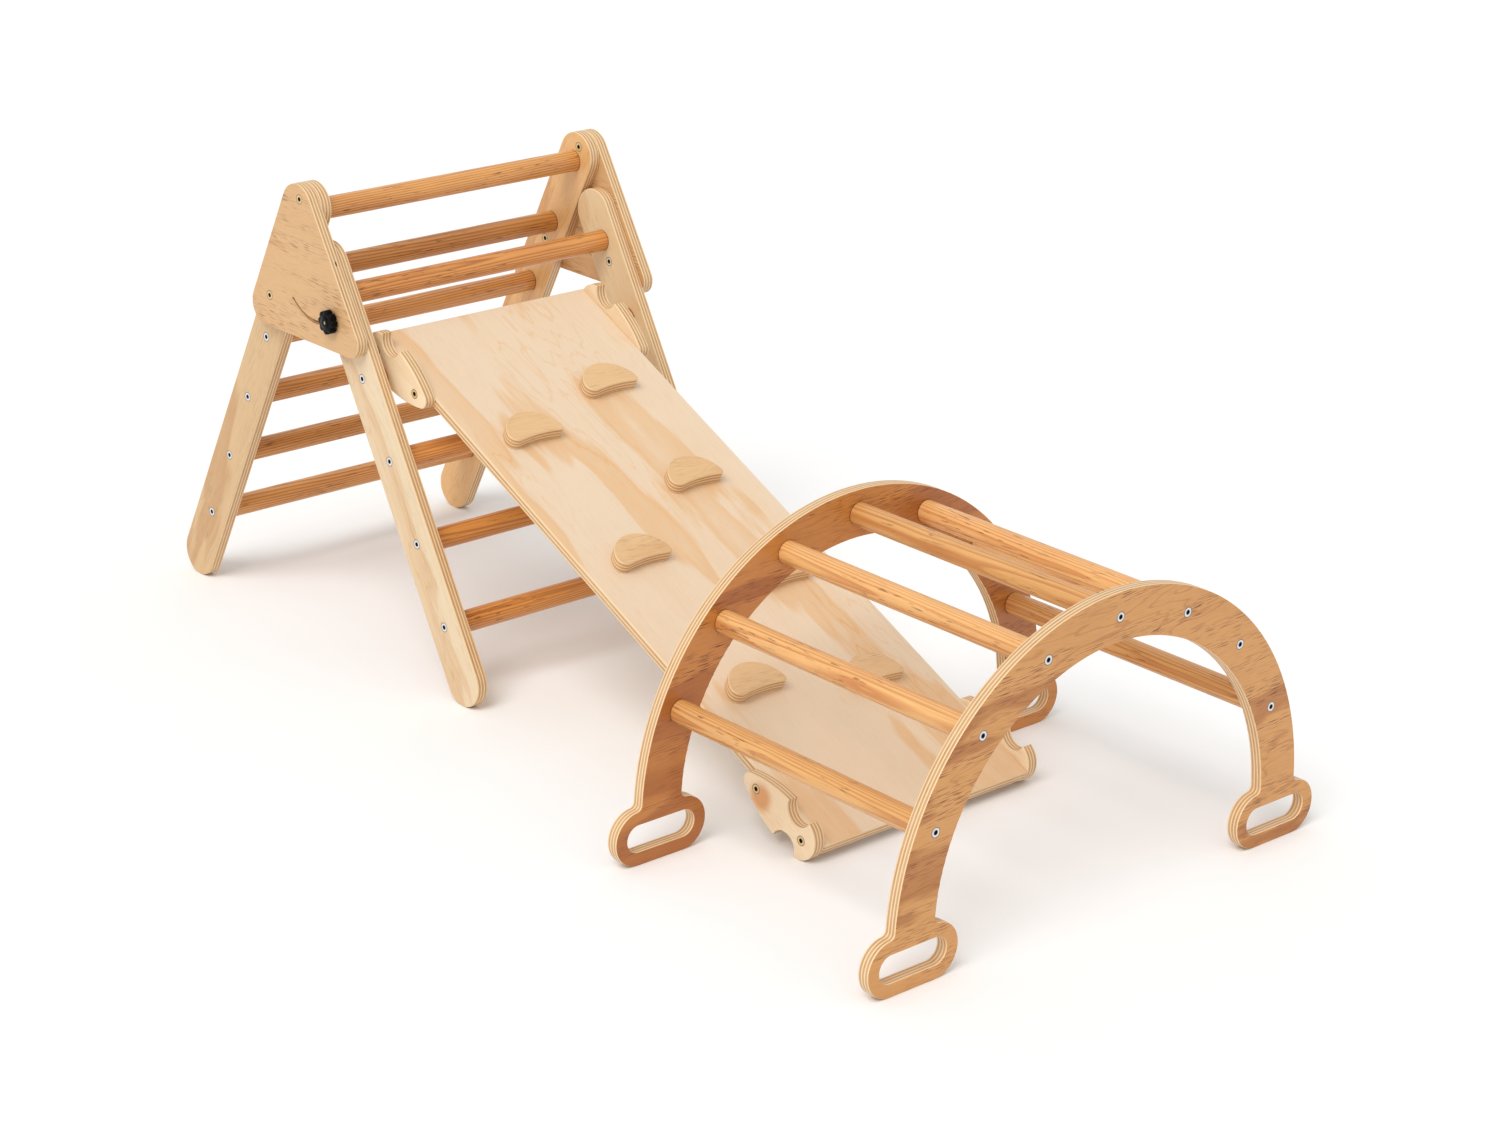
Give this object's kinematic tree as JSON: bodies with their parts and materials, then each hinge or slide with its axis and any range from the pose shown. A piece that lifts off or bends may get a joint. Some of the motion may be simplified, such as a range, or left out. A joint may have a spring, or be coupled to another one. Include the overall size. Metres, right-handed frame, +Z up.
{
  "type": "climbing triangle with ramp and arch",
  "caption": "Children's indoor climbing set: a folding rung triangle with clamp knobs, a hook-on ramp with climbing holds, and a rung arch that turns over into a rocker.",
  "frame": {"origin": "on the floor, in the middle of the set's footprint", "axes": "+X along the set, from the triangle down the ramp to the arch, +Y across it along the rungs, +Z up"},
  "size_m": [1.7209, 0.8162, 0.689],
  "materials": {
    "frame_plywood": "satin clear varnish",
    "arch_plywood": "satin clear varnish",
    "ramp_plywood": "satin clear varnish",
    "ramp_fitting_plywood": "satin clear varnish",
    "pine": "satin clear varnish",
    "zinc": "zinc plated",
    "brass": "dull yellow-chromated",
    "knob_plastic": "gloss black"
  },
  "bodies": {
    "rear_frame": {"fold_pivot_pins": "zinc", "gusset_barrel_nuts": "brass", "gusset_bolts": "brass", "gusset_plate_far": "frame_plywood", "gusset_plate_near": "frame_plywood", "rear_rail_far": "frame_plywood", "rear_rail_near": "frame_plywood", "rear_rung_1": "pine", "rear_rung_2": "pine", "rear_rung_3": "pine", "rear_rung_4": "pine", "rear_rung_5": "pine", "rear_rung_6": "pine", "rear_rung_bolts": "zinc", "rear_rung_inserts": "brass"},
    "front_frame": {"clamp_bolts": "brass", "front_rail_far": "frame_plywood", "front_rail_near": "frame_plywood", "front_rung_1": "pine", "front_rung_2": "pine", "front_rung_3": "pine", "front_rung_4": "pine", "front_rung_5": "pine", "front_rung_bolts": "zinc", "front_rung_inserts": "brass", "knob_washers": "zinc"},
    "ramp": {"bracket_bolts": "brass", "bracket_inserts": "brass", "climbing_hold_1": "ramp_fitting_plywood", "climbing_hold_2": "ramp_fitting_plywood", "climbing_hold_3": "ramp_fitting_plywood", "climbing_hold_4": "ramp_fitting_plywood", "climbing_hold_5": "ramp_fitting_plywood", "climbing_hold_6": "ramp_fitting_plywood", "climbing_hold_7": "ramp_fitting_plywood", "hold_screws": "zinc", "ramp_board": "ramp_plywood", "ramp_bracket_lower_far": "ramp_fitting_plywood", "ramp_bracket_lower_near": "ramp_fitting_plywood", "ramp_bracket_upper_far": "ramp_fitting_plywood", "ramp_bracket_upper_near": "ramp_fitting_plywood"},
    "near_knob": {"knob_bush_near": "brass", "knob_near": "knob_plastic"},
    "far_knob": {"knob_bush_far": "brass", "knob_far": "knob_plastic"},
    "arch": {"arch_panel_far_end": "arch_plywood", "arch_panel_near_ramp": "arch_plywood", "arch_rung_1": "pine", "arch_rung_2": "pine", "arch_rung_3": "pine", "arch_rung_4": "pine", "arch_rung_5": "pine", "arch_rung_6": "pine", "arch_rung_7": "pine", "arch_rung_bolts": "zinc", "arch_rung_inserts": "brass"}
  },
  "joints": [
    {"name": "frame_fold", "type": "hinge", "parent": "rear_frame", "child": "front_frame", "pos_m": [-0.47613, 0.0247, 0.57405], "axis": [0, 1, 0], "range_deg": [0, 56.5]},
    {"name": "ramp_hook", "type": "hinge", "parent": "front_frame", "child": "ramp", "pos_m": [-0.39026, 0.0247, 0.42827], "axis": [0, 1, 0], "range_deg": [-57.5, 0]},
    {"name": "near_knob_turn", "type": "hinge", "parent": "front_frame", "child": "near_knob", "pos_m": [-0.43604, -0.2623, 0.50599], "axis": [0, 1, 0], "continuous": true},
    {"name": "far_knob_turn", "type": "hinge", "parent": "front_frame", "child": "far_knob", "pos_m": [-0.43604, 0.3117, 0.50599], "axis": [0, 1, 0], "continuous": true},
    {"name": "arch_turn_over", "type": "hinge", "parent": "rear_frame", "child": "arch", "pos_m": [0.9005, 0, 0.21655], "axis": [0, 1, 0], "range_deg": [0, 180]}
  ],
  "couplings": [
    {"joint": "ramp_hook", "follows": "frame_fold", "ratio": -1.0071}
  ]
}
